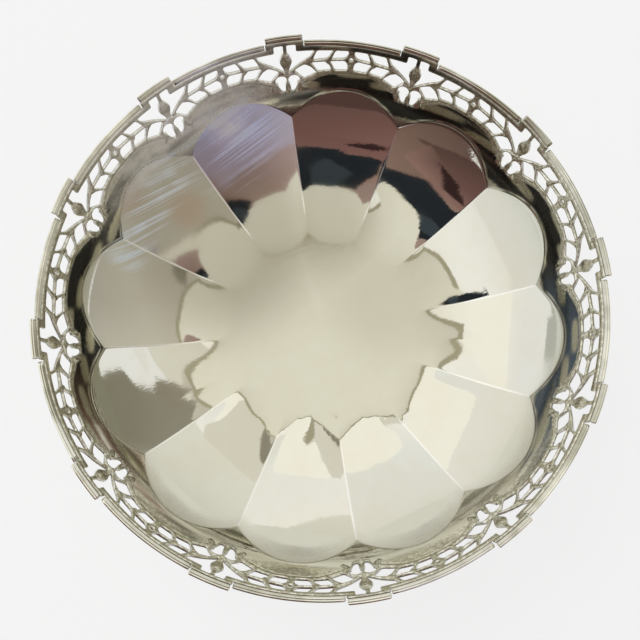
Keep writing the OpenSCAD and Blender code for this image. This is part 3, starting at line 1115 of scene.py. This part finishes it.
level_flag("back_flag", near_z + 3.5, [
    (-110, -28), (40, -28), (150, -170), (40, -520), (-420, -520), (-200, -100)],
    [(0.3, 0.2, 0.17), (0.42, 0.28, 0.24), (0.42, 0.28, 0.26), (0.2, 0.12, 0.1),
     (0.12, 0.08, 0.07), (0.28, 0.18, 0.15)])
level_flag("rose_flag", near_z + 1, [
    (8, -30), (70, -18), (100, -80), (130, -150), (90, -165), (32, -120)],
    [(0.44, 0.33, 0.29), (0.5, 0.36, 0.33), (0.52, 0.38, 0.36), (0.5, 0.38, 0.4),
     (0.42, 0.32, 0.34), (0.36, 0.26, 0.24)])
level_flag("cool_flag", near_z + 2, [
    (20, -110), (100, -100), (150, -115), (185, -240), (300, -420), (900, -1400), (300, -1500),
    (90, -560)],
    [(0.48, 0.41, 0.48), (0.5, 0.44, 0.54), (0.5, 0.44, 0.54), (0.48, 0.44, 0.56),
     (0.48, 0.45, 0.57), (0.36, 0.34, 0.42), (0.34, 0.32, 0.42), (0.38, 0.36, 0.5)])
level_flag("olive_flag", near_z + 1, [
    (105, 80), (150, 112), (227, 157), (274, 167), (379, 226), (453, 291), (705, 427), (900, 520),
    (1500, 800), (4300, 2000), (4300, 700), (330, 95), (135, 74)],
    [(0.5, 0.47, 0.4), (0.33, 0.3, 0.24), (0.31, 0.28, 0.22), (0.3, 0.27, 0.21),
     (0.29, 0.27, 0.21), (0.28, 0.26, 0.21), (0.26, 0.25, 0.19), (0.25, 0.24, 0.18),
     (0.25, 0.24, 0.18), (0.25, 0.24, 0.18), (0.25, 0.24, 0.18), (0.3, 0.28, 0.22),
     (0.34, 0.32, 0.26)])
level_flag("grey_flag", near_z + 1, [
    (-690, 335), (-720, 425), (-1500, 900), (-6500, 3700), (-6500, 2300), (-2400, 1000),
    (-800, 365)], (0.56, 0.57, 0.54))
level_flag("east_flag", ceiling_z + 20, [(1130, -1500), (1130, 900), (9000, 3000), (9000, -9000),
                               (3000, -9000)],
           [(0.55, 0.5, 0.45), (0.68, 0.65, 0.56), (0.6, 0.58, 0.5), (0.4, 0.37, 0.36),
            (0.44, 0.4, 0.39)])
level_flag("west_flag", ceiling_z + 19, [
    (-2400, 500), (-2400, -600), (-9500, -1800), (-9500, 1500)],
           [(0.95, 0.94, 0.9), (0.92, 0.9, 0.86), (0.74, 0.77, 0.73), (0.76, 0.78, 0.74)])
level_flag("north_flag", ceiling_z + 19, [(-200, 1500), (900, 1500), (2000, 9500), (-600, 9500)],
           [(0.98, 1, 0.98), (1.1, 1.08, 1.04), (1.08, 1.06, 1.0), (0.94, 0.94, 0.9)])
level_flag("north_west_flag", ceiling_z + 19, [
    (-1900, 1500), (-200, 1500), (-600, 9500), (-9500, 9500)],
           [(1.02, 1, 0.96), (0.98, 0.98, 0.95), (0.86, 0.85, 0.77), (0.84, 0.84, 0.76)])
level_flag("north_east_flag", ceiling_z + 19, [
    (900, 1500), (2600, 1500), (9500, 9500), (2000, 9500)],
           [(0.92, 0.91, 0.83), (0.94, 0.94, 0.9), (0.72, 0.73, 0.66), (0.8, 0.78, 0.7)])
level_flag("bright_flag", ceiling_z + 15, [
    (-2600, 920), (310, 920), (520, 1756), (449, 1868), (-99, 1642), (-700, 1900),
    (-2600, 2700)], (1.14, 1.12, 1.04))
level_flag("bright_west_flag", ceiling_z + 16, [
    (-930, -300), (-930, 980), (-3600, 2400), (-2700, -300)],
    [(1.12, 1.12, 1.08), (1.12, 1.1, 1.05), (1, 1, 0.98), (1, 0.99, 0.95)])
level_flag("pale_flag", ceiling_z + 17, [
    (310, 920), (520, 1756), (749, 1986), (1321, 1800), (2200, 1500), (1700, 920)],
    (0.85, 0.83, 0.74))
level_flag("ceiling_line", ceiling_z + 10, [
    (1240, -640), (1240, 920), (-930, 920), (-930, -100)], (0.46, 0.43, 0.31))
level_flag("ceiling_flag", ceiling_z, [
    (-800, 800), (-800, 0), (-2400, -900), (-2400, -2500), (2200, -2500), (1130, -500),
    (1130, 800)],
    [(0.76, 0.73, 0.63), (0.92, 0.9, 0.79), (0.85, 0.82, 0.72), (0.8, 0.77, 0.68),
     (0.8, 0.77, 0.68), (1, 0.98, 0.87), (0.94, 0.92, 0.8)])
curtain("south_curtain", (236, 283), 460, (-20, 357), (0.1, 0.055, 0.05))
curtain("south_west_curtain", (200, 236), 470, (-20, 250), (0.08, 0.045, 0.04))
curtain("south_east_curtain", (283, 330), 480, (-20, 190), (0.4, 0.37, 0.36))
curtain("east_curtain", (330, 374), 490, (-20, 200), (0.52, 0.51, 0.43))
curtain("north_east_curtain", (374, 400), 490, (-20, 200), (0.28, 0.27, 0.2))
curtain("north_curtain", (400, 508), 500, (-20, 200), (0.84, 0.84, 0.77))
curtain("west_curtain", (148, 200), 500, (-20, 190), (0.74, 0.76, 0.71))

bpy.context.scene.view_settings.view_transform = "Standard"
